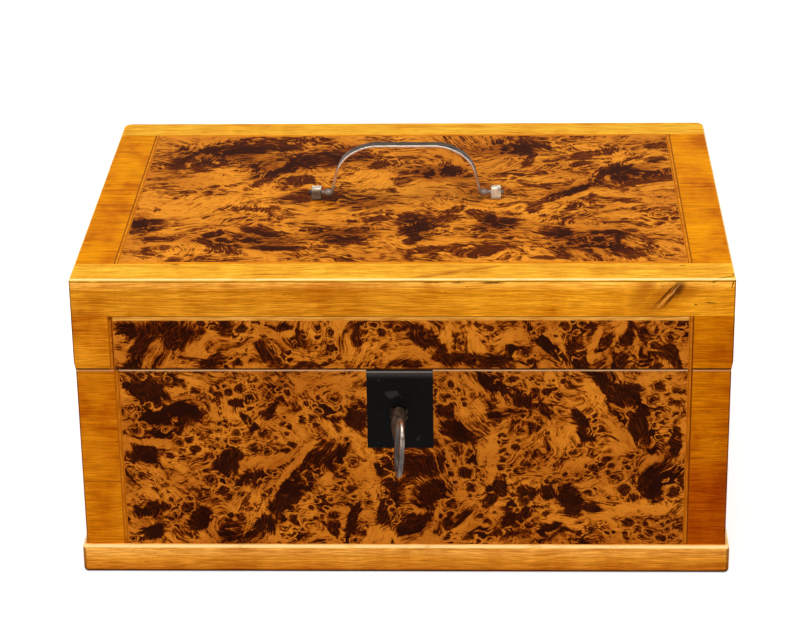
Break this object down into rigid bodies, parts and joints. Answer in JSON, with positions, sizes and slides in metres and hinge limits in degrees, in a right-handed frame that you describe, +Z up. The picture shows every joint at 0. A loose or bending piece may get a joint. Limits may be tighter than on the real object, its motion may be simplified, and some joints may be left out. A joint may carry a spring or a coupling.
{
  "type": "ditty box",
  "caption": "Veneered wooden ditty box with hinged lid, black escutcheon, box lock with key, and a folding drop handle on the lid.",
  "frame": {"origin": "centre of the underside, on the surface that the box stands on", "axes": "+X to the right seen from the front, +Y from the front to the hinged back, +Z up"},
  "size_m": [0.3028, 0.2597, 0.1769],
  "materials": {
    "burl_veneer": "polished burl veneer with dark figure",
    "stringing": "polished light stringing with a dark outer line",
    "banding": "polished honey-coloured straight-grained banding",
    "plinth_wood": "polished solid moulding",
    "carcase_wood": "planed bare wood",
    "bail_steel": "worn dark steel with bright edges",
    "post_steel": "worn bright steel",
    "key_iron": "worn steel",
    "escutcheon_black": "satin black",
    "hinge_brass": "dull brass",
    "lock_iron": "dull iron",
    "screw_steel": "dull steel"
  },
  "bodies": {
    "case": {"case_back_board": "carcase_wood", "case_bottom_board": "carcase_wood", "case_front_board": "carcase_wood", "case_front_burl": "burl_veneer", "case_front_stile_left": "banding", "case_front_stile_right": "banding", "case_front_strings": "stringing", "case_left_board": "carcase_wood", "case_left_burl": "burl_veneer", "case_left_stiles": "banding", "case_right_board": "carcase_wood", "case_right_burl": "burl_veneer", "case_right_stiles": "banding", "escutcheon": "escutcheon_black", "hinge_case_screws": "screw_steel", "hinge_left_case_leaf": "hinge_brass", "hinge_left_pin": "hinge_brass", "hinge_right_case_leaf": "hinge_brass", "hinge_right_pin": "hinge_brass", "lock_backplate": "lock_iron", "lock_case": "lock_iron", "lock_screws": "screw_steel", "lock_spring": "lock_iron", "plinth_back": "plinth_wood", "plinth_front": "plinth_wood", "plinth_left": "plinth_wood", "plinth_right": "plinth_wood"},
    "lid": {"handle_post_left": "post_steel", "handle_post_nuts": "post_steel", "handle_post_right": "post_steel", "handle_post_washers": "post_steel", "hinge_left_lid_leaf": "hinge_brass", "hinge_lid_screws": "screw_steel", "hinge_right_lid_leaf": "hinge_brass", "lid_back_board": "carcase_wood", "lid_front_board": "carcase_wood", "lid_front_burl": "burl_veneer", "lid_front_rail": "banding", "lid_front_stile_left": "banding", "lid_front_stile_right": "banding", "lid_front_strings": "stringing", "lid_left_bands": "banding", "lid_left_board": "carcase_wood", "lid_left_burl": "burl_veneer", "lid_right_bands": "banding", "lid_right_board": "carcase_wood", "lid_right_burl": "burl_veneer", "lid_top_back_band": "banding", "lid_top_board": "carcase_wood", "lid_top_burl": "burl_veneer", "lid_top_front_band": "banding", "lid_top_left_band": "banding", "lid_top_right_band": "banding", "lid_top_strings": "stringing", "strike_plate": "lock_iron", "strike_screws": "screw_steel"},
    "handle": {"handle_bail": "bail_steel"},
    "key": {"key": "key_iron"},
    "lock_bolt": {"lock_bolt": "lock_iron"}
  },
  "joints": [
    {"name": "lid_hinge", "type": "hinge", "parent": "case", "child": "lid", "pos_m": [0, 0.1025, 0.1039], "axis": [-1, 0, 0], "range_deg": [0, 98]},
    {"name": "handle_swing", "type": "hinge", "parent": "lid", "child": "handle", "pos_m": [-0.00045, -0.0042, 0.1519], "axis": [1, 0, 0], "range_deg": [-90, 90]},
    {"name": "key_turn", "type": "hinge", "parent": "case", "child": "key", "pos_m": [-0.0019, -0.1049, 0.0816], "axis": [0, 1, 0], "range_deg": [-4, 356]},
    {"name": "lock_bolt_slide", "type": "slide", "parent": "case", "child": "lock_bolt", "axis": [1, 0, 0], "range_m": [-0.0002, 0.0062]}
  ],
  "couplings": [
    {"joint": "lock_bolt_slide", "follows": "key_turn", "m_per_rad": 0.00096566}
  ]
}
